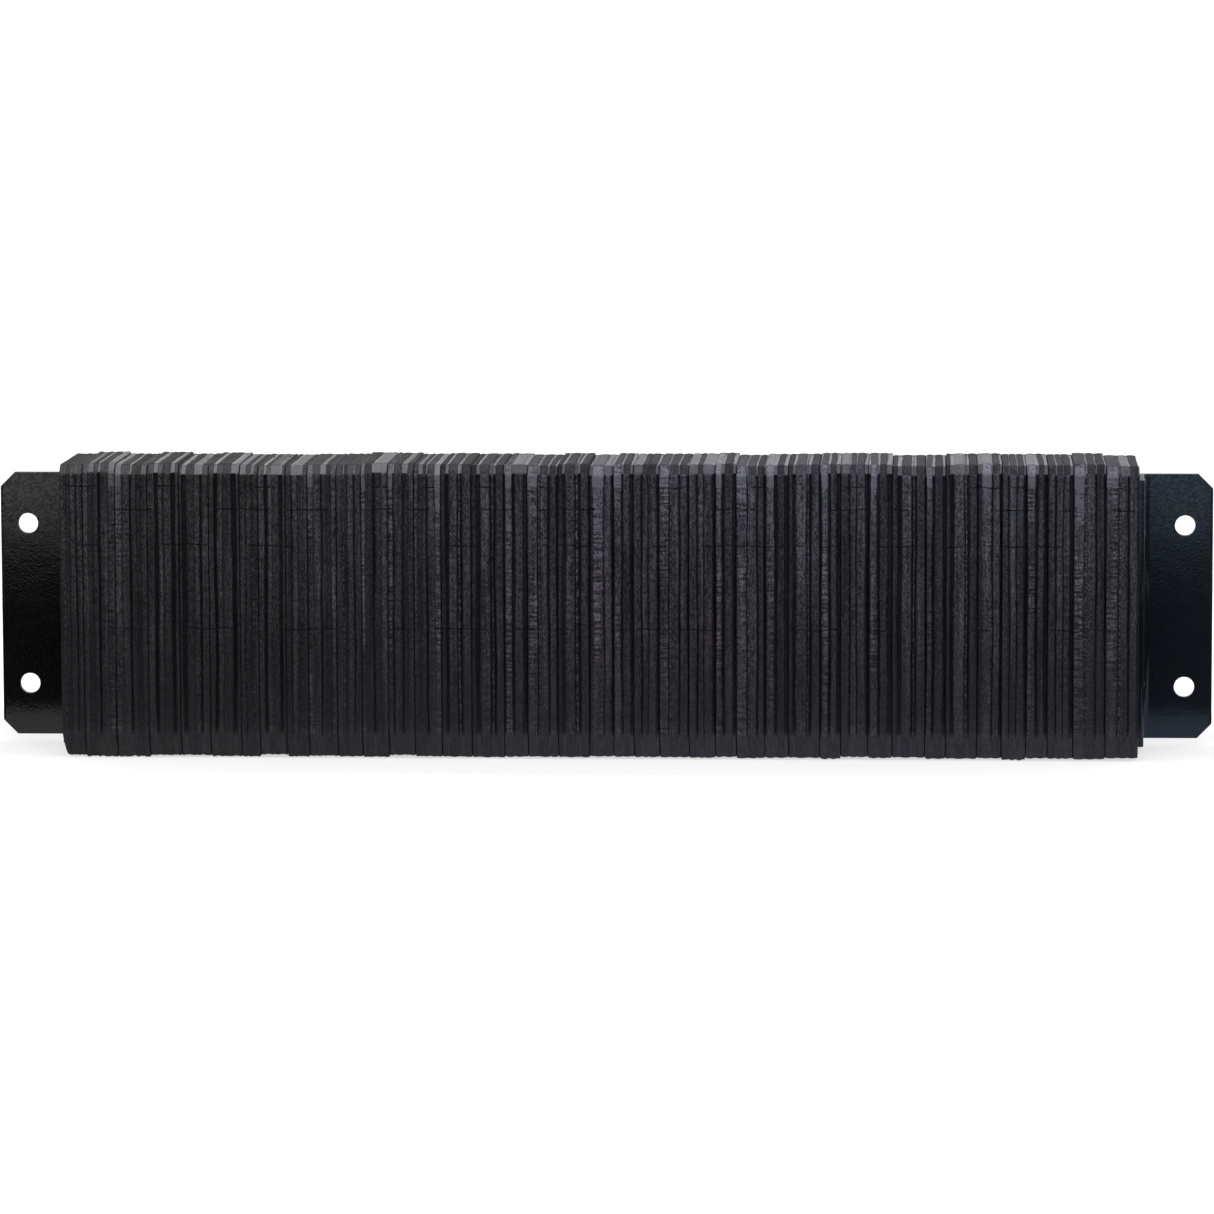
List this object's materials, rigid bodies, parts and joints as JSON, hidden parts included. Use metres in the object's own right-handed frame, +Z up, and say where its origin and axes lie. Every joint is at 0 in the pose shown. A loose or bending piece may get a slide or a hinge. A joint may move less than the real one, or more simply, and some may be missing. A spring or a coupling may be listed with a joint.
{
  "type": "laminated dock bumper",
  "caption": "Loading dock buffer: a long block of rubber pads stacked side by side and squeezed between two steel angles whose outward ears bolt flat to the dock wall.",
  "frame": {"origin": "centre of the four anchor holes, on the plane of the wall that the bumper is bolted to", "axes": "+X along the bumper's length, +Y into the wall and -Y out towards the vehicle, +Z up"},
  "size_m": [1.0478, 0.1143, 0.253],
  "materials": {
    "rubber_ply": "cut tyre rubber with fabric ply, dusty and semi-matte",
    "black_paint": "gloss black enamel with fine orange peel",
    "bare_steel": "plain mill steel rod",
    "weld_paint": "gloss black enamel over weld ripples"
  },
  "bodies": {
    "root": {"pad_01": "rubber_ply", "pad_02": "rubber_ply", "pad_03": "rubber_ply", "pad_04": "rubber_ply", "pad_05": "rubber_ply", "pad_06": "rubber_ply", "pad_07": "rubber_ply", "pad_08": "rubber_ply", "pad_09": "rubber_ply", "pad_10": "rubber_ply", "pad_11": "rubber_ply", "pad_12": "rubber_ply", "pad_13": "rubber_ply", "pad_14": "rubber_ply", "pad_15": "rubber_ply", "pad_16": "rubber_ply", "pad_17": "rubber_ply", "pad_18": "rubber_ply", "pad_19": "rubber_ply", "pad_20": "rubber_ply", "pad_21": "rubber_ply", "pad_22": "rubber_ply", "pad_23": "rubber_ply", "pad_24": "rubber_ply", "pad_25": "rubber_ply", "pad_26": "rubber_ply", "pad_27": "rubber_ply", "pad_28": "rubber_ply", "pad_29": "rubber_ply", "pad_30": "rubber_ply", "pad_31": "rubber_ply", "pad_32": "rubber_ply", "pad_33": "rubber_ply", "pad_34": "rubber_ply", "pad_35": "rubber_ply", "pad_36": "rubber_ply", "pad_37": "rubber_ply", "pad_38": "rubber_ply", "pad_39": "rubber_ply", "pad_40": "rubber_ply", "end_angle_left": "black_paint", "end_angle_right": "black_paint", "tie_rod_lower": "bare_steel", "tie_rod_upper": "bare_steel", "rod_welds_left": "weld_paint", "rod_welds_right": "weld_paint"}
  },
  "joints": []
}
